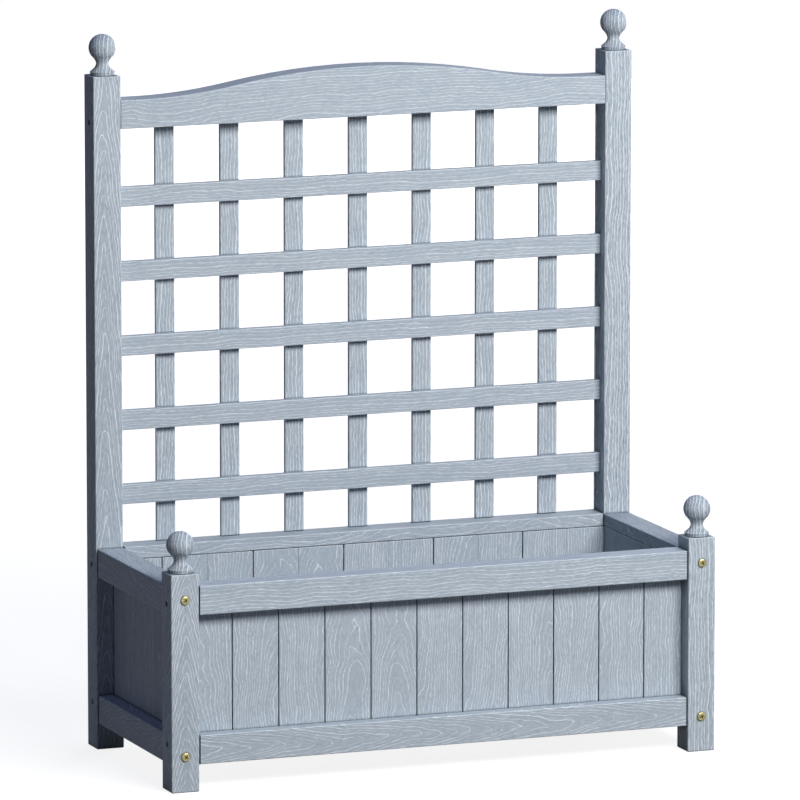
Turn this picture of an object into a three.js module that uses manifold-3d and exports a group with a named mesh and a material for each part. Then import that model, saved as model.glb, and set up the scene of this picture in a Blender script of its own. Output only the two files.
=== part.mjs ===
import * as THREE from "three";
import { mergeVertices } from "three/addons/utils/BufferGeometryUtils.js";
import Module from "manifold-3d";

// A planter box on four posts, with a lattice trellis between the two tall rear posts.
// Millimetres, +Z up. Seen from the front, +X is to the right and +Y to the back.
// The origin is on the ground under the middle of the box.

// Overall
const width = 760;
const depth = 332.5;
const rearPostHeight = 896;
const frontPostHeight = 286.5;

// Timber
const postSize = 37.5;
const railHeight = 38;
const arris = 0.8; // chamfer on the sawn edges
const jointGap = 0.25; // between pieces that meet

// Rails of the box
const bottomRailBase = 35;
const topRailDrop = 17; // from the tops of the front posts down to the top rails
const frontRailSetback = 3.5; // behind the posts' outer faces
const backRailSetback = 0;
const sideRailSetback = 2;
const rebateHeight = 21.5; // of the step in a rail that the boards stand in

// Boards and panels
const boardThickness = 13;
const boardWidth = 128.2;
const firstBoardWidth = 54.6; // of the narrow board at the left end of the front and of the back
const narrowestBoard = 20;
const boardHeadGap = 0.7; // room above the boards
const seamWidth = 1.5; // of the open joint between two boards, and of the groove down each full board
const seamDepth = 4.5; // of that groove
const faintVDepth = 0.7; // of the V opposite it, on the inner face
const boardArris = 0.6; // chamfer along their edges and grooves
const tongueLength = 5.5;
const tongueThickness = 4;
const tonguePlay = 0.3;
const sidePanelThickness = 13.5;

// Floor
const bearerWidth = 30;
const bearerHeight = 18;
const floorBoardThickness = 9;
const floorBoardCount = 3;
const drainGap = 5;

// Trellis
const archDrop = 70; // from the tops of the rear posts down to the arched rail's underside
const archShoulder = 37.5; // height of the arched rail at its ends
const archRise = 29.2; // of the crown above the shoulders
const archLevelEnd = 24.5; // the level stretch at each end of its top
const archHollow = 136; // the concave stretch next to it, and the rest is the crown
const slatWidth = 26;
const latticeRailCount = 5;
const latticeRailThickness = 12.5;
const latticeFootGap = 54.6; // under the lowest lattice rail
const latticeHeadGap = 79.5; // over the highest lattice rail
const uprightCount = 7;
const uprightThickness = 6.5;
const latticeEndGap = 57.5; // between a post and the next upright
const latticeInset = 3; // from the posts' rear faces to the uprights
const housingDepth = 2; // of the groove that the slats' ends sit in

// Finials
const ballRadius = 17.9;
const ballCentre = 36.3; // above the post
const ballJoin = 55; // degrees round the ball, from its bottom to where the neck runs into it
const neckRadius = 8.2;
const neckCentre = 15.6;
const coveStraight = 5; // how far the curves below and above the neck start out upright
const throatStraight = 4;
const lipRadius = 16.6;
const lipHeight = 4.8;
const footRadius = 15.9;
const footHeight = 3.4;
const tenonRadius = 7;
const tenonLength = 18;
const tenonPlay = 0.3;

// Screws: pan heads through the posts into the side rails, and sunk ones into the long rails
const screwRadius = 2.8;
const screwHeadRadius = 5.8;
const screwHeadHeight = 2.8;
const screwHeadEdge = 1; // height of its upright rim
const screwTip = 3;
const screwBite = 24; // length in the rail
const screwTipPlay = 1;
const screwPlay = 0.3;
const recessSpan = 6.2;
const recessWidth = 1.3;
const recessDepth = 1.5;
const sunkHoleRadius = 2.3;
const counterboreRadius = 4;
const counterboreDepth = 6;
const sunkBite = 25;
const archScrewHeight = 8; // above the arched rail's underside

// How finely the round forms are faceted
const rodSides = 12;
const finialSides = 16;
const curvePieces = 4;
const archPieces = 6;

const insideWidth = width - 2 * postSize;
const insideDepth = depth - 2 * postSize;
const topRailBase = frontPostHeight - topRailDrop - railHeight;
const archBase = rearPostHeight - archDrop;
const latticeFoot = topRailBase + railHeight;
const latticeBack = depth / 2 - latticeInset;
const latticeFront = latticeBack - uprightThickness - latticeRailThickness;

// The two heights at which rails join the posts, with the height of the screws in each rail
const levels = [
  { name: "bottom", base: bottomRailBase, rebateUp: true, panScrew: 12.2, sunkScrew: 26.5 },
  { name: "top", base: topRailBase, rebateUp: false, panScrew: 21.7, sunkScrew: 15.1 },
];

// The four walls of the box. Each is drawn as seen from outside: x along it, y from the posts'
// outer faces inwards, z up. The wall is then turned and moved out to its place.
const longWall = { span: insideWidth, holeRadius: sunkHoleRadius, bite: sunkBite, screw: "sunkScrew" };
const shortWall = {
  span: insideDepth, holeRadius: screwRadius + screwPlay, bite: screwBite + screwTipPlay, screw: "panScrew",
  setback: sideRailSetback, infill: sidePanelThickness, reach: width / 2,
};
const walls = {
  front: { ...longWall, setback: frontRailSetback, infill: boardThickness, reach: depth / 2, turn: 0 },
  back: { ...longWall, setback: backRailSetback, infill: boardThickness, reach: depth / 2, turn: Math.PI },
  left: { ...shortWall, turn: -Math.PI / 2 },
  right: { ...shortWall, turn: Math.PI / 2 },
};

const wasm = await Module();
wasm.setup();

function toSolid(geometry) {
  const bare = geometry.clone();
  bare.deleteAttribute("normal");
  bare.deleteAttribute("uv");
  const merged = mergeVertices(bare);
  return new wasm.Manifold(new wasm.Mesh({
    numProp: 3,
    vertProperties: merged.attributes.position.array,
    triVerts: Uint32Array.from(merged.index.array),
  }));
}

function carve(geometry, tools) {
  const solid = tools.reduce((rest, tool) => rest.subtract(toSolid(tool)), toSolid(geometry));
  const { vertProperties, triVerts } = solid.getMesh();
  const carved = new THREE.BufferGeometry();
  carved.setAttribute("position", new THREE.BufferAttribute(vertProperties, 3));
  carved.setIndex(new THREE.BufferAttribute(triVerts, 1));
  const faceted = carved.toNonIndexed();
  faceted.computeVertexNormals();
  return faceted;
}

const planter = new THREE.Group();

function add(parent, name, geometry, material, x = 0, y = 0, z = 0) {
  const mesh = new THREE.Mesh(geometry, material);
  mesh.name = name;
  mesh.position.set(x, y, z);
  parent.add(mesh);
  return mesh;
}

function stainedTimber() {
  return new THREE.MeshStandardMaterial({ color: "#a7b2bf", roughness: 0.65, metalness: 0 });
}

function brass() {
  return new THREE.MeshStandardMaterial({ color: "#cfae62", roughness: 0.3, metalness: 1 });
}

// An outline's corners, anticlockwise
function rectangle(left, bottom, right, top) {
  const corners = [[left, bottom], [right, bottom], [right, top], [left, top]];
  return corners.map(([x, y]) => new THREE.Vector2(x, y));
}

// Takes the outward corners off an anticlockwise outline
function eased(corners) {
  return corners.flatMap((corner, i) => {
    const before = corners.at(i - 1).clone().sub(corner);
    const after = corners[(i + 1) % corners.length].clone().sub(corner);
    if (after.cross(before) <= 0) return [corner];
    return [before, after].map((side) => side.setLength(arris).add(corner));
  });
}

// A bar with one outline all the way from z = 0 up to its length, and eased ends
function bar(outline, length, curveSegments = 1) {
  const shape = Array.isArray(outline) ? new THREE.Shape(outline) : outline;
  const geometry = new THREE.ExtrudeGeometry(shape, {
    depth: length - 2 * arris,
    bevelThickness: arris,
    bevelSize: arris,
    bevelOffset: -arris,
    bevelSegments: 1,
    curveSegments,
  });
  return geometry.translate(0, 0, arris);
}

// Lays a bar along x, with its outline's x turned to y and y to z, and its middle at x = 0
function layAlongX(geometry, length) {
  const axes = [[0, 1, 0], [0, 0, 1], [1, 0, 0]].map((axis) => new THREE.Vector3(...axis));
  return geometry.applyMatrix4(new THREE.Matrix4().makeBasis(...axes)).translate(-length / 2, 0, 0);
}

// A round tool or tenon, centred on the origin
function rod(radius, length, axis) {
  const geometry = new THREE.CylinderGeometry(radius, radius, length, rodSides);
  if (axis === "x") geometry.rotateZ(Math.PI / 2);
  if (axis === "z") geometry.rotateX(Math.PI / 2);
  return geometry;
}

// The counterbore and hole of a sunk screw, from the outer side face (side -1 or 1) of a post
function sunkHole(side, height) {
  return [
    rod(counterboreRadius, 2 * counterboreDepth, "x").translate((side * postSize) / 2, 0, height),
    rod(sunkHoleRadius, 2 * postSize, "x").translate(0, 0, height),
  ];
}

// The stopped groove in the inner face of a rear post, which the lattice rails' ends sit in
function postHousing(side) {
  const height = archBase - latticeFoot;
  const across = latticeBack - latticeFront + 2 * jointGap;
  const postMiddle = (depth - postSize) / 2;
  return new THREE.BoxGeometry(2 * housingDepth, across, height).translate(
    (-side * postSize) / 2, (latticeFront + latticeBack) / 2 - postMiddle, latticeFoot + height / 2);
}

// A post stands on z = 0. side is -1 at the left and 1 at the right, end -1 at the front and 1 at the rear.
function post(side, end) {
  const half = postSize / 2;
  const height = end < 0 ? frontPostHeight : rearPostHeight;
  const socketDepth = tenonLength + tenonPlay;
  const cuts = [rod(tenonRadius + tenonPlay, 2 * socketDepth, "z").translate(0, 0, height)];
  for (const { base, panScrew, sunkScrew } of levels) {
    cuts.push(rod(screwRadius + screwPlay, 2 * postSize, "y").translate(0, 0, base + panScrew));
    cuts.push(...sunkHole(side, base + sunkScrew));
  }
  if (end > 0) cuts.push(postHousing(side), ...sunkHole(side, archBase + archScrewHeight));
  return carve(bar(eased(rectangle(-half, -half, half, half)), height), cuts);
}

// The turned ball finial, with the tenon that sits in the post
function finial() {
  const join = (ballJoin * Math.PI) / 180;
  const outline = new THREE.Path();
  outline.moveTo(0, -tenonLength);
  outline.lineTo(tenonRadius, -tenonLength);
  outline.lineTo(tenonRadius, jointGap);
  outline.lineTo(footRadius, jointGap);
  outline.lineTo(footRadius, footHeight);
  outline.lineTo(lipRadius, lipHeight);
  outline.quadraticCurveTo(neckRadius, neckCentre - coveStraight, neckRadius, neckCentre);
  outline.quadraticCurveTo(neckRadius, neckCentre + throatStraight, ballRadius * Math.sin(join),
    ballCentre - ballRadius * Math.cos(join));
  outline.absarc(0, ballCentre, ballRadius, join - Math.PI / 2, Math.PI / 2, false);
  const points = outline.getPoints(curvePieces);
  points.at(-1).x = 0;
  return new THREE.LatheGeometry(points, finialSides).rotateX(Math.PI / 2);
}

// A rail of the box, in its wall's frame
function rail(wall, { base, rebateUp, [wall.screw]: screwHeight }) {
  const step = postSize - wall.infill - jointGap;
  const low = [[wall.setback, 0], [step, 0], [step, rebateHeight], [postSize, rebateHeight],
    [postSize, railHeight], [wall.setback, railHeight]];
  const corners = rebateUp ? low.map(([y, z]) => [y, railHeight - z]).reverse() : low;
  const length = wall.span - 2 * jointGap;
  const outline = eased(corners.map(([y, z]) => new THREE.Vector2(y, z)));
  const holes = [-1, 1].map((end) => rod(wall.holeRadius, 2 * wall.bite, "x")
    .translate((end * wall.span) / 2, postSize / 2, screwHeight));
  return carve(layAlongX(bar(outline, length), length), holes).translate(0, 0, base);
}

// The outline of a tongue and groove board that runs from the seam at x = from to the one at x = to,
// with a groove down its middle and a faint V opposite. Its outer face is at y = 0. A joined edge stands
// back from its seam and has the tongue or the slot for it. hand is -1 where x runs from right to left.
function boardOutline(from, to, middle, joinedLeft, joinedRight, hand) {
  const face = boardThickness;
  const half = seamWidth / 2;
  const left = from + (joinedLeft ? half : 0);
  const right = to - (joinedRight ? half : 0);
  const tongue = (boardThickness - tongueThickness) / 2;
  const slot = tongue - tonguePlay;
  const slotEnd = left - seamWidth + tongueLength + tonguePlay;
  const grooved = middle > from + narrowestBoard / 2 && middle < to - narrowestBoard / 2;
  const points = [
    ...(joinedLeft ? [[left, boardArris], [left + boardArris, 0]] : [[left, 0]]),
    ...(grooved
      ? [[middle - half - boardArris, 0], [middle - half, boardArris], [middle - half, seamDepth],
        [middle + half, seamDepth], [middle + half, boardArris], [middle + half + boardArris, 0]]
      : []),
    ...(joinedRight
      ? [[right - boardArris, 0], [right, boardArris], [right, tongue], [right + tongueLength, tongue],
        [right + tongueLength, face - tongue], [right, face - tongue], [right, face - boardArris],
        [right - boardArris, face]]
      : [[right, 0], [right, face]]),
    ...(grooved
      ? [[middle + faintVDepth, face], [middle, face - faintVDepth], [middle - faintVDepth, face]]
      : []),
    ...(joinedLeft
      ? [[left + boardArris, face], [left, face - boardArris], [left, face - slot],
        [slotEnd, face - slot], [slotEnd, slot], [left, slot]]
      : [[left, face]]),
  ];
  return points.map(([x, y]) => new THREE.Vector2(hand * x, y));
}

// The upright boards of a long wall. Their seams are laid out from the left of the whole planter.
function addBoards(parent, name, wall, hand) {
  const end = wall.span / 2 - jointGap;
  const seams = [-end];
  for (let x = firstBoardWidth - wall.span / 2; x < end - narrowestBoard; x += boardWidth) seams.push(x);
  seams.push(end);
  const foot = bottomRailBase + railHeight - rebateHeight + jointGap;
  const head = topRailBase + rebateHeight - boardHeadGap;
  for (let i = 0; i + 1 < seams.length; i++) {
    const [from, to] = [seams[i], seams[i + 1]];
    const middle = i === 0 ? to - boardWidth / 2 : from + boardWidth / 2;
    const outline = boardOutline(from, to, middle, i > 0, i + 2 < seams.length, hand);
    add(parent, `${name}_board_${i + 1}`, bar(outline, head - foot), stainedTimber(),
      0, postSize - boardThickness, foot);
  }
}

// A plain side panel, in its wall's frame
function sidePanel() {
  const half = insideDepth / 2 - jointGap;
  const foot = bottomRailBase + railHeight - rebateHeight + jointGap;
  const head = topRailBase + rebateHeight - boardHeadGap;
  const outline = eased(rectangle(-half, postSize - sidePanelThickness, half, postSize));
  return bar(outline, head - foot).translate(0, 0, foot);
}

// The arched rail, with the groove under it that the uprights' ends sit in. Its front is at y = 0.
// The hollow and the crown are arcs that run into each other, level at their other ends.
function archedRail() {
  const half = insideWidth / 2 - jointGap;
  const reach = insideWidth / 2 - archLevelEnd;
  const radii = (reach ** 2 + archRise ** 2) / (2 * archRise);
  const hollowRadius = (radii * archHollow) / reach;
  const crownRadius = radii - hollowRadius;
  const bend = Math.atan2(reach, radii - archRise);
  const top = archShoulder + archRise;
  const up = Math.PI / 2;
  const shape = new THREE.Shape();
  shape.moveTo(-half, 0);
  shape.lineTo(half, 0);
  shape.lineTo(half, archShoulder);
  shape.absarc(reach, archShoulder + hollowRadius, hollowRadius, -up, -up - bend, true);
  shape.absarc(0, top - crownRadius, crownRadius, up - bend, up + bend, false);
  shape.absarc(-reach, archShoulder + hollowRadius, hollowRadius, bend - up, -up, true);
  shape.lineTo(-half, archShoulder);
  const blank = bar(shape, postSize, archPieces).rotateX(Math.PI / 2).translate(0, postSize, 0);
  const across = latticeBack - latticeFront + 2 * jointGap;
  const fromFront = (latticeFront + latticeBack) / 2 - depth / 2 + postSize;
  const groove = new THREE.BoxGeometry(width, across, 2 * housingDepth).translate(0, fromFront, 0);
  const holes = [-1, 1].map((end) => rod(sunkHoleRadius, 2 * sunkBite, "x")
    .translate((end * insideWidth) / 2, postSize / 2, archScrewHeight));
  return carve(blank, [groove, ...holes]);
}

function addTrellis(parent) {
  add(parent, "arched_top_rail", archedRail(), stainedTimber(), 0, depth / 2 - postSize, archBase);

  const length = insideWidth + 2 * (housingDepth - jointGap);
  const lowest = latticeFoot + latticeFootGap;
  const highest = archBase - latticeHeadGap - slatWidth;
  const railOutline = eased(rectangle(0, 0, latticeRailThickness - jointGap, slatWidth));
  for (let i = 0; i < latticeRailCount; i++) {
    const z = lowest + ((highest - lowest) * i) / (latticeRailCount - 1);
    add(parent, `lattice_rail_${i + 1}`, layAlongX(bar(railOutline, length), length), stainedTimber(),
      0, latticeFront, z);
  }

  const reach = insideWidth / 2 - latticeEndGap - slatWidth / 2;
  const foot = latticeFoot + jointGap;
  const uprightOutline = eased(rectangle(-slatWidth / 2, -uprightThickness, slatWidth / 2, 0));
  for (let i = 0; i < uprightCount; i++) {
    const x = -reach + (2 * reach * i) / (uprightCount - 1);
    add(parent, `lattice_upright_${i + 1}`, bar(uprightOutline, archBase + housingDepth - jointGap - foot),
      stainedTimber(), x, latticeBack, foot);
  }
}

// Three bearers from front to back between the bottom rails, and the floor boards on them
function addFloor(parent) {
  const bearerLength = insideDepth - 2 * jointGap;
  const bearerOutline = eased(rectangle(-bearerWidth / 2, 0, bearerWidth / 2, bearerHeight));
  const endX = (insideWidth - bearerWidth) / 2 - jointGap;
  for (const [name, x] of [["left", -endX], ["centre", 0], ["right", endX]]) {
    const bearer = bar(bearerOutline, bearerLength).rotateX(Math.PI / 2).translate(0, bearerLength / 2, 0);
    add(parent, `floor_bearer_${name}`, bearer, stainedTimber(), x, 0, bottomRailBase);
  }

  const boardLength = insideWidth - 2 * jointGap;
  const pitch = (insideDepth + drainGap / 2) / floorBoardCount;
  const outline = eased(rectangle((drainGap - pitch) / 2, 0, (pitch - drainGap) / 2, floorBoardThickness));
  for (let i = 0; i < floorBoardCount; i++) {
    add(parent, `floor_board_${i + 1}`, layAlongX(bar(outline, boardLength), boardLength), stainedTimber(),
      0, (i - (floorBoardCount - 1) / 2) * pitch, bottomRailBase + bearerHeight + jointGap);
  }
}

// A pan head screw with a cross recess. Its axis is y, the head's flat underside is at y = 0.
function panScrew() {
  const length = postSize + screwBite;
  const outline = new THREE.Path();
  outline.moveTo(0, -length);
  outline.lineTo(screwRadius, screwTip - length);
  outline.lineTo(screwRadius, 0);
  outline.lineTo(screwHeadRadius, 0);
  outline.lineTo(screwHeadRadius, screwHeadEdge);
  outline.absellipse(0, screwHeadEdge, screwHeadRadius, screwHeadHeight - screwHeadEdge, 0, Math.PI / 2);
  const points = outline.getPoints(curvePieces);
  points.at(-1).x = 0;
  const slots = [[recessSpan, recessWidth], [recessWidth, recessSpan]].map(([x, z]) =>
    new THREE.BoxGeometry(x, 2 * recessDepth, z).translate(0, screwHeadHeight, 0));
  return carve(new THREE.LatheGeometry(points, rodSides), slots);
}

for (const [sideName, side] of [["left", -1], ["right", 1]]) {
  for (const [endName, end] of [["front", -1], ["rear", 1]]) {
    const x = (side * (width - postSize)) / 2;
    const y = (end * (depth - postSize)) / 2;
    const height = end < 0 ? frontPostHeight : rearPostHeight;
    add(planter, `${endName}_post_${sideName}`, post(side, end), stainedTimber(), x, y, 0);
    add(planter, `${endName}_finial_${sideName}`, finial(), stainedTimber(), x, y, height);
    for (const level of levels) {
      const screw = add(planter, `${endName}_screw_${sideName}_${level.name}`, panScrew(), brass(),
        x, end * (depth / 2 + jointGap), level.base + level.panScrew);
      if (end < 0) screw.rotation.x = Math.PI;
    }
  }
}

for (const [name, wall] of Object.entries(walls)) {
  const frame = new THREE.Group();
  frame.rotation.z = wall.turn;
  frame.position.set(wall.reach * Math.sin(wall.turn), -wall.reach * Math.cos(wall.turn), 0);
  planter.add(frame);
  for (const level of levels) add(frame, `${name}_${level.name}_rail`, rail(wall, level), stainedTimber());
  if (name === "front") addBoards(frame, name, wall, 1);
  if (name === "back") addBoards(frame, name, wall, -1);
  if (name === "left" || name === "right") add(frame, `${name}_panel`, sidePanel(), stainedTimber());
}

addTrellis(planter);
addFloor(planter);

export default planter;
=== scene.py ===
import math
import random

import bpy
from mathutils import Matrix, Vector


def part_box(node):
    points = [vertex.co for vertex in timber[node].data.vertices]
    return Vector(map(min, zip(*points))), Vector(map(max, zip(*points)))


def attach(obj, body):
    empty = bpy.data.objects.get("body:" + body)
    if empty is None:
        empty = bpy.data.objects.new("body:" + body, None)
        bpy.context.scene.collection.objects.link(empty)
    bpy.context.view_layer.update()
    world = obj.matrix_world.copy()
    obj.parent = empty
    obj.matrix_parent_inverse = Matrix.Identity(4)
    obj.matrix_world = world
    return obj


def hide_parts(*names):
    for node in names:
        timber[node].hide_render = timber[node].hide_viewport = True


# A planter box on four posts, with a lattice trellis between the two tall rear posts. Its front looks
# towards -y. Blender works in metres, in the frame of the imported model. The sizes of pieces are written
# here in millimetres, and mm turns them into metres.
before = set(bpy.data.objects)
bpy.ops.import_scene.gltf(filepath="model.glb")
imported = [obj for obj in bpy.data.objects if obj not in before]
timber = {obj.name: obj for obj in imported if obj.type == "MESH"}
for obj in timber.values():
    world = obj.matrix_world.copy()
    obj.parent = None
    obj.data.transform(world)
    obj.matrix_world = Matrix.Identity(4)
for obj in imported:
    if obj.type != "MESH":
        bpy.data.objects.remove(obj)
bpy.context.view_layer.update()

# ---------------------------------------------------------------- Posts
# Four square softwood posts, two tall and two short, sawn, eased along their edges and brushed, so that
# the soft bands between the growth rings stand a little lower. A blue-grey water-based stain covers
# them, and a pale lime wax rubbed in afterwards stays in the brushed lines and on the rubbed edges.
mm = 0.001
x_axis, y_axis, z_axis = (Vector(axis) for axis in Matrix.Identity(3))

# From bare stain to full lime, then the painted shade of the corners and the dark of the joints
stain_tones = [(0, "#88949f"), (0.3, "#a6b1bc"), (0.55, "#b7c1ca"), (1, "#dde3e8")]
corner_shade_tone, joint_tone = "#55626f", "#2b333d"

# The lime across one ring's line, from line_reach before it to line_reach after it: none just before
# the line, most on it, and a little beyond it
line_reach = 3
line_shape = [(0, 0.3), (0.3, 0.25), (0.39, 0), (0.44, 0.7), (0.5, 1), (0.57, 0.7), (0.66, 0.3), (1, 0.3)]


def srgb(code):
    """A hex colour, as written for a screen, in the linear values that a shader takes."""
    parts = [int(code[i:i + 2], 16) / 255 for i in (1, 3, 5)]
    return [c / 12.92 if c <= 0.04045 else ((c + 0.055) / 1.055) ** 2.4 for c in parts] + [1]


def add(tree, kind, inputs=None, stops=None, **settings):
    """Adds a node with its settings. An input is a value, or the output of another node to link, and is
    known by its name or its number. MapRange has the range that comes in as 1 and 2, and the range that
    goes out as 3 and 4. Where they are left out, that is 0 to 1."""
    node = tree.nodes.new("ShaderNode" + kind)
    for name, value in settings.items():
        setattr(node, name, value)
    for socket, value in (inputs or {}).items():
        if isinstance(value, bpy.types.NodeSocket):
            tree.links.new(value, node.inputs[socket])
        else:
            node.inputs[socket].default_value = value
    if stops:
        ramp = node.color_ramp
        ramp.elements.remove(ramp.elements[1])
        for i, (place, colour) in enumerate(stops):
            element = ramp.elements[0] if i == 0 else ramp.elements.new(place)
            element.position, element.color = place, colour
    return node


def new_material(name):
    """An empty node material with its shader, which the caller gives its inputs."""
    material = bpy.data.materials.new(name)
    material.use_nodes = True
    tree = material.node_tree
    tree.nodes.clear()
    shader = add(tree, "BsdfPrincipled")
    add(tree, "OutputMaterial", {"Surface": shader.outputs[0]})
    return material, tree, shader


def grey(value):
    return (value, value, value, 1)


def stain(piece, grain, face, hearts, ring=3.6, brushed=1, rubbed=0.35, split=None, seed=0,
          taper=0, bow=1, corner=6, sealed=None, pale=0):
    """Fir for one piece, brushed, stained and limed. To the eye that is a matt blue-grey with pale lines
    along the rings, where lime lies in the brushed wood, and paler edges where the cloth has rubbed.
    grain is the way that the fibres run, and face the normal of the main face. A heart is the middle of
    the log that the piece was sawn from: how far it is aside and behind the face, in mm at the middle of
    the piece, how fast it falls back along the grain, and how far it wanders, in mm. ring is the width of
    the yearly rings in mm, taper how fast the log narrows along the grain, and bow how much the rings
    bend. brushed is how strongly they show, rubbed how much paler the edges are, and pale how much more
    lime the whole piece holds, or below 0 how much darker it is: on the side rails and panels that is
    painted shade. A board is glued up from two staves that meet at x = split, in metres, each with its own
    heart. corner is how far out of a corner the painted shade of the corners reaches, and sealed how far
    in from each of the two jointed ends the dark of the joints begins, in mm. seed moves the irregularities
    along."""
    material, tree, shader = new_material("stained_fir_" + piece.name)
    low, high = (Vector(map(pick, zip(*(v.co for v in piece.data.vertices)))) for pick in (min, max))
    across = grain.cross(face)
    turn = Matrix((across, -face, grain)).transposed().to_euler()
    surface = (low + high) / 2 + face * abs((high - low).dot(face)) / 2
    if split is not None:
        surface.x = split
    geometry = add(tree, "NewGeometry")
    place = add(tree, "TexCoord").outputs["Object"]
    logs = []
    for number, (aside, behind, fall, wander) in enumerate(hearts):
        start = surface + mm * (aside * across - behind * face)
        point = add(tree, "Mapping", {"Vector": place, "Location": start, "Rotation": turn},
                    vector_type="TEXTURE").outputs[0]
        along = add(tree, "SeparateXYZ", {0: point}).outputs[2]
        spot = add(tree, "Math", {0: along, 1: 6.5, 2: 10 * (seed + number)}, operation="MULTIPLY_ADD")
        swing = add(tree, "TexNoise", {"W": spot.outputs[0], "Scale": 1, "Detail": 0},
                    noise_dimensions="1D").outputs[0]
        fallen = add(tree, "Math", {0: along, 1: -fall, 2: -wander * mm}, operation="MULTIPLY_ADD")
        back = add(tree, "Math", {0: swing, 1: 2 * wander * mm, 2: fallen.outputs[0]},
                   operation="MULTIPLY_ADD").outputs[0]
        shift = add(tree, "CombineXYZ", {1: back, 2: seed + number}).outputs[0]
        logs.append(add(tree, "VectorMath", {0: point, 1: shift}, operation="ADD").outputs[0])
    log = logs[0]
    if split is not None:
        x = add(tree, "SeparateXYZ", {0: place}).outputs[0]
        right = add(tree, "Math", {0: x, 1: split}, operation="GREATER_THAN").outputs[0]
        log = add(tree, "Mix", {"Factor": right, 4: logs[0], 5: logs[1]}, data_type="VECTOR").outputs[1]

    # The rings swell and bend over a hand's width, 110 mm, and waver over a finger's and a nail's, 33 and
    # 8 mm. Each line below has how many such waves there are in a metre, and how far they go, in metres.
    bent = log
    for waves, sway in (((9, 9, 10), 0.01 * bow), ((30, 30, 28), 0.004 * bow), ((120, 120, 90), 0.002)):
        slow = add(tree, "VectorMath", {0: log, 1: waves}, operation="MULTIPLY").outputs[0]
        drift = add(tree, "TexNoise", {"Vector": slow, "Scale": 1, "Detail": 1}).outputs[1]
        drift = add(tree, "VectorMath", {0: drift, 1: (0.5, 0.5, 0.5)}, operation="SUBTRACT").outputs[0]
        bent = add(tree, "VectorMath", {0: drift, 1: (sway, sway, 0), 2: bent},
                   operation="MULTIPLY_ADD").outputs[0]
    section = add(tree, "VectorMath", {0: bent, 1: (1, 1, 0)}, operation="MULTIPLY").outputs[0]

    # Each yearly ring is as wide as ring, give or take a wet or a dry summer, and holds its own lime
    radius = add(tree, "VectorMath", {0: section}, operation="LENGTH").outputs["Value"]
    height = add(tree, "SeparateXYZ", {0: log}).outputs[2]
    radius = add(tree, "Math", {0: height, 1: taper, 2: radius}, operation="MULTIPLY_ADD").outputs[0]
    age = add(tree, "Math", {0: radius, 1: ring * mm}, operation="DIVIDE").outputs[0]
    weather = add(tree, "TexNoise", {"W": age, "Scale": 0.4, "Detail": 0}, noise_dimensions="1D").outputs[0]
    age = add(tree, "Math", {0: weather, 1: 0.8, 2: age}, operation="MULTIPLY_ADD").outputs[0]
    year = add(tree, "Math", {0: age}, operation="FRACT").outputs[0]
    count = add(tree, "Math", {0: age}, operation="FLOOR").outputs[0]
    richness = add(tree, "TexWhiteNoise", {"W": count}, noise_dimensions="1D").outputs[0]

    # A ring that meets the surface at a slant is wide there, but its line of lime stays narrow, so the
    # way to the nearest line is measured along the surface, in mm. The 1.05, rather than 1, keeps the
    # line of a ring that lies flat in the surface from vanishing.
    outwards = add(tree, "VectorMath", {0: section}, operation="NORMALIZE").outputs[0]
    normal = add(tree, "Mapping", {"Vector": geometry.outputs["True Normal"], "Rotation": turn},
                 vector_type="TEXTURE").outputs[0]
    facing = add(tree, "VectorMath", {0: outwards, 1: normal}, operation="DOT_PRODUCT").outputs["Value"]
    facing = add(tree, "Math", {0: facing, 1: facing}, operation="MULTIPLY").outputs[0]
    slant = add(tree, "Math", {0: 1.05, 1: facing}, operation="SUBTRACT").outputs[0]
    slant = add(tree, "Math", {0: slant, 1: 0.5}, operation="POWER").outputs[0]
    reach = add(tree, "Math", {0: year, 1: 0.5}, operation="SUBTRACT").outputs[0]
    reach = add(tree, "Math", {0: reach, 1: ring}, operation="MULTIPLY").outputs[0]
    reach = add(tree, "Math", {0: reach, 1: slant}, operation="DIVIDE").outputs[0]
    reach = add(tree, "MapRange", {0: reach, 1: -line_reach, 2: line_reach}).outputs[0]
    lines = add(tree, "ValToRGB", {0: reach},
                stops=[(at, grey(lime)) for at, lime in line_shape]).outputs[0]

    # The brush marks along the fibres are finer than a pixel, so they are drawn 1.1 mm wide and 9 mm
    # long, as coarse as they need to show. The wax lies unevenly, in patches 11 mm wide and 33 mm long.
    strands = add(tree, "VectorMath", {0: bent, 1: (900, 900, 110)}, operation="MULTIPLY").outputs[0]
    fibre = add(tree, "TexNoise", {"Vector": strands, "Scale": 1, "Detail": 1}).outputs[0]
    fibres = add(tree, "MapRange", {0: fibre, 1: 0.3, 2: 0.7}).outputs[0]
    patches = add(tree, "VectorMath", {0: log, 1: (90, 90, 30)}, operation="MULTIPLY").outputs[0]
    patch = add(tree, "TexNoise", {"Vector": patches, "Scale": 1, "Detail": 2}).outputs[0]
    held = add(tree, "MapRange", {0: patch, 1: 0.35, 2: 0.65, 3: 0.7, 4: 1}).outputs[0]

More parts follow.
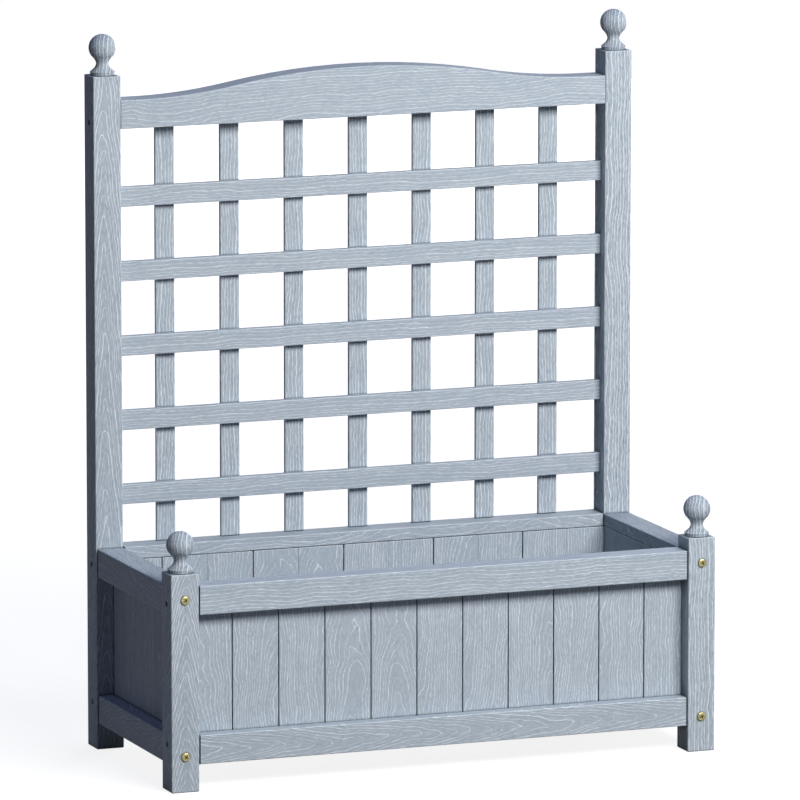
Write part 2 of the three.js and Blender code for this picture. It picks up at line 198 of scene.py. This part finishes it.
    # How much pale lime each spot holds, most of all on the eased edges, which are half turned away
    # from the face
    good = add(tree, "Math", {0: richness, 1: 0.3, 2: 0.75}, operation="MULTIPLY_ADD").outputs[0]
    rough_wood = add(tree, "Math", {0: fibres, 1: 0.3, 2: 0.85}, operation="MULTIPLY_ADD").outputs[0]
    lime = add(tree, "Math", {0: lines, 1: held}, operation="MULTIPLY").outputs[0]
    lime = add(tree, "Math", {0: lime, 1: good}, operation="MULTIPLY").outputs[0]
    lime = add(tree, "Math", {0: lime, 1: rough_wood}, operation="MULTIPLY").outputs[0]
    tone = add(tree, "Math", {0: fibres, 1: 0.24, 2: 0.12}, operation="MULTIPLY_ADD").outputs[0]
    tone = add(tree, "Math", {0: lime, 1: 0.78, 2: tone}, operation="MULTIPLY_ADD").outputs[0]
    tone = add(tree, "Math", {0: tone, 1: brushed, 2: 0.45 * (1 - brushed) + pale},
               operation="MULTIPLY_ADD").outputs[0]
    front = add(tree, "VectorMath", {0: geometry.outputs["True Normal"], 1: face},
                operation="DOT_PRODUCT").outputs["Value"]
    front = add(tree, "Math", {0: front}, operation="ABSOLUTE").outputs[0]
    edge = add(tree, "Math", {0: front, 1: 0.7, 2: 0.2}, operation="COMPARE").outputs[0]
    worn = add(tree, "Math", {0: edge, 1: rubbed, 2: tone}, operation="MULTIPLY_ADD").outputs[0]
    colour = add(tree, "ValToRGB", {0: worn}, stops=[(at, srgb(code)) for at, code in stain_tones])

    # Painted shade darkens the corners, where little is open around a spot, and reaches further out on the
    # sides than on the face. Along the joints at the ends the wood is nearly black.
    shade_reach = add(tree, "MapRange", {0: front, 3: corner * mm, 4: min(corner, 3) * mm}).outputs[0]
    open_to = add(tree, "AmbientOcclusion", {"Distance": shade_reach}, samples=4).outputs["AO"]
    open_to = add(tree, "MapRange", {0: open_to, 1: 0.4, 2: 0.85}).outputs[0]
    blend = add(tree, "Mix", {"Factor": open_to, 6: srgb(corner_shade_tone), 7: colour.outputs[0]},
                data_type="RGBA").outputs[2]
    if sealed:
        near, far = low.dot(grain) + sealed[0] * mm, high.dot(grain) - sealed[1] * mm
        along = add(tree, "VectorMath", {0: place, 1: grain}, operation="DOT_PRODUCT").outputs["Value"]
        along = add(tree, "Math", {0: along, 1: (near + far) / 2}, operation="SUBTRACT").outputs[0]
        along = add(tree, "Math", {0: along}, operation="ABSOLUTE").outputs[0]
        half = (far - near) / 2
        end = add(tree, "MapRange", {0: along, 1: half, 2: half + 0.5 * mm}).outputs[0]
        blend = add(tree, "Mix", {"Factor": end, 6: blend, 7: srgb(joint_tone)}, data_type="RGBA").outputs[2]
    tree.links.new(blend, shader.inputs["Base Color"])

    # Stain and wax leave the wood matt, most of all where lime lies, and the limed lines are a little
    # lower than the hard wood between them
    rough = add(tree, "MapRange", {0: tone, 3: 0.55, 4: 0.72}).outputs[0]
    tree.links.new(rough, shader.inputs["Roughness"])
    shader.inputs["IOR"].default_value = 1.5
    shader.inputs["Specular IOR Level"].default_value = 0.05
    relief = add(tree, "Bump", {"Height": tone, "Strength": 0.3, "Distance": 0.4 * mm}, invert=True)
    tree.links.new(relief.outputs[0], shader.inputs["Normal"])
    piece.material_slots[0].material = material


# For each post, its heart (aside, behind, fall and wander), how strongly it is brushed, and its taper.
# On the sides of the front posts the painted shade of the corners reaches furthest.
front_post_corner, rear_post_corner = 30, 8
posts = {
    "front_post_left": ((1, 6, 0, 2), 1.3, 0.24), "front_post_right": ((42, 34, 0, 4), 1.45, 0),
    "rear_post_left": ((-5, 4, 0, 2), 1.3, 0.11), "rear_post_right": ((-44, 34, 0, 4), 1.8, 0),
}
for seed, (name, (heart, brushed, taper)) in enumerate(posts.items()):
    stain(timber[name], z_axis, -y_axis, [heart], brushed=brushed, taper=taper, seed=seed,
          corner=front_post_corner if name.startswith("front") else rear_post_corner)

# ---------------------------------------------------------------- Rails of the box
# Eight softwood rails, rebated for the boards, butted between the posts and screwed to them. Those of
# the long walls run from side to side, those of the short walls from front to back.
rail_hearts = {
    "front_top_rail": (48, 40, 0, 3), "front_bottom_rail": (2, 7, 0, 4),
    "back_top_rail": (-24, 20, 0.03, 12), "back_bottom_rail": (0, 20, 0.05, 10),
    "left_top_rail": (20, 30, 0.1, 5), "left_bottom_rail": (-20, 40, 0, 5),
    "right_top_rail": (20, 30, 0.1, 5), "right_bottom_rail": (-20, 40, 0, 5),
}
# Painted shade makes the side rails darker than the front and back ones, the right one most
wall_painted_shade = {"front": 0, "back": 0, "left": -0.12, "right": -0.25}
for seed, (name, heart) in enumerate(rail_hearts.items(), 5):
    wall, level, _ = name.split("_")
    long = wall in ("front", "back")
    stain(timber[name], x_axis if long else y_axis, -y_axis if long else -x_axis, [heart], brushed=1.05,
          taper=0.13 if level == "bottom" else 0, bow=1.5 if level == "bottom" else 1,
          sealed=(3.2, 1.2) if long else (1.8, 1.8), pale=wall_painted_shade[wall], seed=seed)

# ---------------------------------------------------------------- Front and back boards
# Twelve tongued and grooved softwood boards stand in the rebates of the long rails. Each is glued up
# from two staves, and a groove like the open joints between the boards runs down its middle.
board_width = 128.2
first_groove = -352  # the middle of the first board, from the middle of the wall
board_hearts = [  # counted from the middle of each board, its left stave and then its right
    [(-32, 30, 0, 4), (12, 22, 0.12, 4)],
    [(2, 16, 0.13, 4), (66, 13, 0.13, 4)],
    [(-24, 21, 0.13, 2), (38, 20, 0.13, 2)],
    [(-66, 12, -0.12, 4), (1, 11, -0.13, 4)],
    [(-2, 13, 0.1, 4), (68, 14, 0.12, 4)],
    [(-63, 8, -0.06, 6), (84, 30, 0.02, 4)],
]
for wall, seed in (("front", 20), ("back", 40)):
    for number, hearts in enumerate(board_hearts):
        stain(timber[f"{wall}_board_{number + 1}"], z_axis, -y_axis, hearts,
              split=(first_groove + number * board_width) * mm, bow=2.2, corner=3, seed=seed + 2 * number)

# ---------------------------------------------------------------- Side panels
# Two plain softwood panels close the ends of the box. They stand in the rebates of the short rails with
# their grain upright, and painted shade makes them a little darker than the walls in front and behind.
panel_painted_shade = {"left_panel": -0.08, "right_panel": -0.28}
for seed, (name, pale) in enumerate(panel_painted_shade.items(), 60):
    stain(timber[name], z_axis, -x_axis, [(50, 40, 0, 5)], pale=pale, seed=seed)

# ---------------------------------------------------------------- Bearers and floor boards
# Three softwood bearers lie between the bottom rails, from front to back, and three boards with drain
# gaps between them lie on the bearers from side to side. The stain reaches them, the wax hardly does.
for seed, name in enumerate(("floor_bearer_left", "floor_bearer_centre", "floor_bearer_right"), 65):
    stain(timber[name], y_axis, z_axis, [(-40, 30, 0, 5)], seed=seed)
for seed, name in enumerate(("floor_board_1", "floor_board_2", "floor_board_3"), 70):
    stain(timber[name], x_axis, z_axis, [(25, 22, 0.03, 8)], brushed=0.8, seed=seed)

# ---------------------------------------------------------------- Arched top rail
# One wide softwood plank, sawn to its arch on a bandsaw, so that the rings run straight through under
# the curve. A groove in its underside takes the lattice uprights.
stain(timber["arched_top_rail"], x_axis, -y_axis, [(62, 34, -0.04, 10)], brushed=0.9, corner=3, seed=80)

# ---------------------------------------------------------------- Lattice
# Five level slats, and behind them seven thinner upright ones, all ripped from softwood boards. Their
# ends sit in the grooves of the rear posts and the arched rail.
level_slats, upright_slats = 5, 7
for number in range(level_slats):
    side = random.Random(number).choice((-1, 1))
    stain(timber[f"lattice_rail_{number + 1}"], x_axis, -y_axis, [(side * 40, 26, 0, 4)], brushed=0.9,
          corner=3, seed=number + 85)
for number in range(upright_slats):
    side = random.Random(number).choice((-1, 1))
    stain(timber[f"lattice_upright_{number + 1}"], z_axis, -y_axis, [(side * 36, 22, 0, 4)], brushed=1.3,
          corner=3, seed=number + 95)

# ---------------------------------------------------------------- Finials
# Four ball finials, each turned on a lathe from one square of softwood, with a tenon under its foot
# that is glued into the top of a post. They are stained and limed like the rest.
finial_sides = 64
tenon_radius, tenon_length = 7, 18
foot_radius, foot_height, foot_gap = 15.9, 3.4, 0.25
lip_radius, lip_height = 16.6, 4.8
neck_radius, neck_height = 8.2, 15.6
cove_straight, throat_straight = 5, 4
ball_radius, ball_height = 17.9, 36.3
ball_join = math.radians(55)  # where the throat meets the ball, up from its lowest point
ball_steps = 20


def curve(start, pull, end, steps):
    """The points of a smooth curve, after its start, that leaves and arrives in the direction of pull."""
    for i in range(1, steps + 1):
        t = i / steps
        yield tuple((1 - t) ** 2 * a + 2 * t * (1 - t) * b + t * t * c for a, b, c in zip(start, pull, end))


def turned(name, rings, sides):
    """A piece turned on the z axis, drawn out ring by ring, as (radius, height) in mm, from its foot to
    the point that the last ring closes in."""
    bpy.ops.object.select_all(action="DESELECT")
    radius, height = rings[0]
    bpy.ops.mesh.primitive_circle_add(vertices=sides, radius=radius * mm, fill_type="NGON",
                                      location=(0, 0, height * mm))
    piece = bpy.context.object
    piece.name = piece.data.name = name
    bpy.ops.object.transform_apply()
    bpy.ops.object.mode_set(mode="EDIT")
    for wider, higher in rings[1:]:
        rise = (0, 0, (higher - height) * mm)
        bpy.ops.mesh.extrude_region_move(TRANSFORM_OT_translate={"value": rise})
        bpy.ops.transform.resize(value=(wider / radius, wider / radius, 1), center_override=(0, 0, 0))
        radius, height = wider, higher
    bpy.ops.mesh.merge(type="CENTER")
    bpy.ops.mesh.select_all(action="SELECT")
    bpy.ops.mesh.normals_make_consistent(inside=False)
    bpy.ops.object.mode_set(mode="OBJECT")
    bpy.ops.object.shade_smooth_by_angle(angle=math.radians(35))
    return piece


def copied(model, name, place):
    """A copy of a finished piece with its own mesh, turned and moved by a matrix."""
    piece = model.copy()
    piece.data = model.data.copy()
    piece.name = piece.data.name = name
    piece.data.transform(place)
    bpy.context.scene.collection.objects.link(piece)
    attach(piece, "root")
    return piece


ball_foot = (ball_radius * math.sin(ball_join), ball_height - ball_radius * math.cos(ball_join))
ball = [(ball_radius * math.sin(a), ball_height - ball_radius * math.cos(a))
        for a in (ball_join + (math.pi - ball_join) * i / ball_steps for i in range(1, ball_steps))]
finial = turned("finial", [
    (tenon_radius - 0.8, -tenon_length), (tenon_radius, 0.8 - tenon_length), (tenon_radius, foot_gap),
    (foot_radius - 0.3, foot_gap), (foot_radius, foot_gap + 0.3), (foot_radius, foot_height),
    (foot_radius + 0.45, foot_height + 0.15), (lip_radius, foot_height + 0.6), (lip_radius, lip_height),
    *curve((lip_radius, lip_height), (neck_radius, neck_height - cove_straight),
           (neck_radius, neck_height), 12),
    *curve((neck_radius, neck_height), (neck_radius, neck_height + throat_straight), ball_foot, 8),
    *ball, (0, ball_height + ball_radius)], finial_sides)
finial.data.materials.append(None)
for name in timber:
    if "_finial_" in name:
        low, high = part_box(name)
        axis = (low + high) / 2
        piece = copied(finial, "turned_" + name,
                       Matrix.Translation((axis.x, axis.y, low.z + tenon_length * mm)))
        pick = random.Random(name)
        stain(piece, z_axis, -y_axis, [(pick.uniform(-46, -34), 33, 0, 1)], ring=4.2, brushed=2.5,
              pale=-0.07, rubbed=0, seed=pick.randrange(50))
        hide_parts(name)
bpy.data.objects.remove(finial)

# ---------------------------------------------------------------- Pan head screws
# Eight solid brass screws with low domed heads and a cross recess, gone a little dull outdoors. They go
# in through the front posts from the front and the rear posts from the back, into the side rails.
head_radius, head_height, head_edge, dome_steps = 5.8, 2.8, 1.3, 8
shank_radius, thread_root, thread_length, screw_tip = 2.8, 2.1, 42, 3
screw_length, screw_sides = 61.5, 32
thread_pitch, tip_radius = 3, 0.3


def cross_recess(piece, top, span, mouth, floor, depth):
    """Presses a cross recess into the top of a screw's head, with two tapered bars. Its arms are as wide
    as mouth at the top and as floor at the bottom."""
    for turn in (0, math.pi / 2):
        bpy.ops.object.select_all(action="DESELECT")
        bpy.ops.mesh.primitive_cube_add(size=2 * mm, location=(0, 0, top * mm))
        bar = bpy.context.object
        bpy.ops.transform.resize(value=(span / 2, mouth / 2, depth))
        bpy.ops.object.transform_apply()
        bpy.ops.object.mode_set(mode="EDIT")
        bpy.ops.mesh.select_all(action="DESELECT")
        bpy.ops.object.mode_set(mode="OBJECT")
        for face in bar.data.polygons:
            face.select = face.normal.z < -0.5
        bpy.ops.object.mode_set(mode="EDIT")
        taper = floor / mouth
        bpy.ops.transform.resize(value=(taper, taper, 1))
        bpy.ops.object.mode_set(mode="OBJECT")
        bar.data.transform(Matrix.Rotation(turn, 4, "Z"))
        cut = piece.modifiers.new("recess", "BOOLEAN")
        cut.operation = "DIFFERENCE"
        cut.solver = "EXACT"
        cut.object = bar
        bpy.context.view_layer.objects.active = piece
        bpy.ops.object.modifier_apply(modifier="recess")
        bpy.data.objects.remove(bar)
    bpy.ops.object.select_all(action="DESELECT")
    piece.select_set(True)
    bpy.ops.object.shade_smooth_by_angle(angle=math.radians(35))


def threaded(length, radius, root, thread, tip):
    """The rings of a screw's shank, from its tip up: grooves as far apart as a wood thread's turns."""
    yield (tip_radius, -length)
    yield (root, tip - length)
    turns = int((thread - tip) / thread_pitch)
    for i in range(turns):
        foot = tip - length + i * thread_pitch
        yield (root, foot + 0.2 * thread_pitch)
        yield (radius, foot + 0.5 * thread_pitch)
        yield (root, foot + 0.8 * thread_pitch)
    thread_end = tip - length + turns * thread_pitch
    yield (root, thread_end)
    yield (radius, thread_end + 1)
    yield (radius, 0)


dome = [(head_radius * math.cos(a), head_edge + (head_height - head_edge) * math.sin(a))
        for a in (math.pi / 2 * i / dome_steps for i in range(dome_steps))]
pan_screw = turned("pan_screw", [
    *threaded(screw_length, shank_radius, thread_root, thread_length, screw_tip),
    (head_radius - 0.3, 0), (head_radius, 0.3), *dome, (0, head_height)], screw_sides)
cross_recess(pan_screw, head_height, span=7, mouth=1.9, floor=1, depth=1.6)

# Solid brass, turned bright and then dulled by the weather: a soft yellow gloss, uneven with tarnish in
# patches 2.4 mm across, and painted shade, nearly black, in the recess and around the rim
tarnish_patches = 420  # in a metre
brass, tree, shader = new_material("dulled_brass")
place = add(tree, "TexCoord").outputs["Object"]
tarnish = add(tree, "TexNoise", {"Vector": place, "Scale": tarnish_patches, "Detail": 3}).outputs[0]
colour = add(tree, "ValToRGB", {0: tarnish}, stops=[
    (0.3, srgb("#736b47")), (0.5, srgb("#a0966a")), (0.72, srgb("#c0b990"))]).outputs[0]
# Painted shade, darkest where least is open around a spot
open_to = add(tree, "AmbientOcclusion", {"Distance": 5 * mm}, samples=8).outputs["AO"]
open_to = add(tree, "MapRange", {0: open_to, 1: 0.45, 2: 0.85}).outputs[0]
blend = add(tree, "Mix", {"Factor": open_to, 6: srgb("#26231a"), 7: colour}, data_type="RGBA").outputs[2]
tree.links.new(blend, shader.inputs["Base Color"])
shader.inputs["Metallic"].default_value = 1
rough = add(tree, "MapRange", {0: tarnish, 1: 0.3, 2: 0.7, 3: 0.42, 4: 0.24}).outputs[0]
tree.links.new(rough, shader.inputs["Roughness"])
relief = add(tree, "Bump", {"Height": tarnish, "Strength": 0.2, "Distance": 0.1 * mm})
tree.links.new(relief.outputs[0], shader.inputs["Normal"])
pan_screw.data.materials.append(brass)

for name in timber:
    if "_screw_" in name:
        low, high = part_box(name)
        out = -y_axis if name.startswith("front") else y_axis
        head = (low + high) / 2 + out * ((high.y - low.y) / 2 - head_height * mm)
        place = Matrix.Translation(head) @ out.to_track_quat("Z", "Y").to_matrix().to_4x4()
        place = place @ Matrix.Rotation(random.Random(name).uniform(0.2, 1.3), 4, "Z")
        piece = copied(pan_screw, "brass_" + name, place)
        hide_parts(name)
bpy.data.objects.remove(pan_screw)

# ---------------------------------------------------------------- Sunk screws
# Ten countersunk screws of the same brass, each at the bottom of a counterbored hole in the outer side
# of a post. They hold the long rails of the box, and the arched rail at the top.
sunk_radius, sunk_root, sunk_length, sunk_thread, sunk_tip, sunk_sides = 2, 1.6, 48, 30, 3, 24
sunk_head, sunk_cone, sunk_rim, sunk_top = 3.6, 2, 2.3, 2.7  # its radius, and heights above the shank
hole_depth = 6
rail_screw_heights, arch_screw_height = (61.5, 246.6), 834
sunk_screw = turned("sunk_screw", [
    *threaded(sunk_length, sunk_radius, sunk_root, sunk_thread, sunk_tip),
    (sunk_radius, 0.1), (sunk_head, sunk_cone), (sunk_head, sunk_rim), (sunk_head - 0.4, 2.6),
    (0, sunk_top)], sunk_sides)
cross_recess(sunk_screw, sunk_top, span=4, mouth=1.1, floor=0.7, depth=1.2)
sunk_screw.data.materials.append(brass)
for name in timber:
    if "_post_" in name:
        low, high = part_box(name)
        out = x_axis if name.endswith("right") else -x_axis
        heights = rail_screw_heights + ((arch_screw_height,) if name.startswith("rear") else ())
        for number, height in enumerate(heights, 1):
            head = Vector(((low.x + high.x) / 2, (low.y + high.y) / 2, height * mm))
            head += out * ((high.x - low.x) / 2 - (hole_depth + sunk_top) * mm)
            place = Matrix.Translation(head) @ out.to_track_quat("Z", "Y").to_matrix().to_4x4()
            piece = copied(sunk_screw, f"sunk_screw_{name}_{number}", place)
bpy.data.objects.remove(sunk_screw)

# ---------------------------------------------------------------- Floor, light and camera
# A plain white studio floor without an edge in sight, soft light from in front and to the right, and a
# long lens at the photograph's angle. Places and sizes in this section are in metres.
floor_size = 80
bpy.ops.mesh.primitive_plane_add(size=floor_size)
floor = bpy.context.object
floor.name = "floor"

# Matt white board: to the eye it is plain white, and keeps a faint shadow where the planter stands. To
# the planter it is dark, so that it throws little light up on the undersides.
dark_floor = 0.12
white_from, white_to = 0.8, 3  # how far from the middle it begins to brighten, and is wholly white
material, tree, shader = new_material("white_studio_floor")
shader.inputs["Base Color"].default_value = grey(dark_floor)
shader.inputs["Roughness"].default_value = 1
spot = add(tree, "TexCoord").outputs["Object"]
away = add(tree, "VectorMath", {0: spot}, operation="LENGTH").outputs["Value"]
paleness = add(tree, "MapRange", {0: away, 1: white_from, 2: white_to, 3: 0.86, 4: 1}).outputs[0]
white = add(tree, "Emission", {"Color": grey(1), "Strength": paleness})
matt = add(tree, "BsdfDiffuse", {"Color": grey(0.3)})
shown = add(tree, "AddShader", {0: white.outputs[0], 1: matt.outputs[0]})
path = add(tree, "LightPath")
seen = add(tree, "Math", {0: path.outputs["Is Camera Ray"], 1: path.outputs["Is Glossy Ray"]},
           operation="MAXIMUM")
both = add(tree, "MixShader", {0: seen.outputs[0], 1: shader.outputs[0], 2: shown.outputs[0]})
tree.links.new(both.outputs[0], tree.nodes["Material Output"].inputs["Surface"])
floor.data.materials.append(material)

# The world is white behind the planter and in its brass, and a weak blue light on its timber
world = bpy.data.worlds.new("studio")
world.use_nodes = True
bpy.context.scene.world = world
tree = world.node_tree
tree.nodes.clear()
path = add(tree, "LightPath")
seen = add(tree, "Math", {0: path.outputs["Is Camera Ray"], 1: path.outputs["Is Glossy Ray"]},
           operation="MAXIMUM")
sky = add(tree, "Background", {"Color": srgb("#86a4e0"), "Strength": 0.05})
white = add(tree, "Background", {"Color": grey(1), "Strength": 1})
both = add(tree, "MixShader", {0: seen.outputs[0], 1: sky.outputs[0], 2: white.outputs[0]})
add(tree, "OutputWorld", {"Surface": both.outputs[0]})
aim = Vector((-0.00084, 0, 0.46624))


def lamp(name, place, size, level, tint):
    """A soft box at a place, of a width and height, turned to the planter's middle. A matt white face
    there that is turned to the lamp shows as white at level 1."""
    data = bpy.data.lights.new(name, "AREA")
    data.shape = "RECTANGLE"
    data.size, data.size_y = size
    away = Vector(place) - aim
    data.energy = level * math.pi ** 2 * away.length_squared
    light = bpy.data.objects.new(name, data)
    bpy.context.scene.collection.objects.link(light)
    light.location = place
    light.rotation_euler = away.to_track_quat("Z", "Y").to_euler()
    data.color = srgb(tint)[:3]


# The key lights the fronts from above and a little to the right, so the left sides stay dark
lamp("key", (0.8, -2.8, 2.27), (2.2, 1.2), 1.18, "#ffffff")
# A dim blue light from overhead cools the tops
lamp("overhead", (0, 0.3, 6.5), (4, 4), 0.12, "#5b8cff")
# A light low behind and to the right shows the back and the right sides, and keeps off the tops
lamp("back_light", (4.2, 4.8, 0.5), (2.5, 0.7), 1.1, "#f4f7ff")
# A very weak one low on the left keeps the left bottom rail and feet from going black
lamp("left_fill", (-1.4, 0.15, 0.2), (0.5, 0.35), 0.016, "#dfe0ff")

# The camera was worked out from the straight edges in the photograph
view_azimuth = math.radians(-21.02)
view_elevation = math.radians(9.74)
view_distance = 11.9084
back = Vector((math.sin(view_azimuth) * math.cos(view_elevation),
               -math.cos(view_azimuth) * math.cos(view_elevation), math.sin(view_elevation)))
camera = bpy.data.cameras.new("camera")
camera.sensor_width = 36
camera.lens = 407.545
viewer = bpy.data.objects.new("camera", camera)
bpy.context.scene.collection.objects.link(viewer)
viewer.location = aim + view_distance * back
viewer.rotation_euler = back.to_track_quat("Z", "Y").to_euler()
bpy.context.scene.camera = viewer
bpy.context.scene.view_settings.view_transform = "Standard"
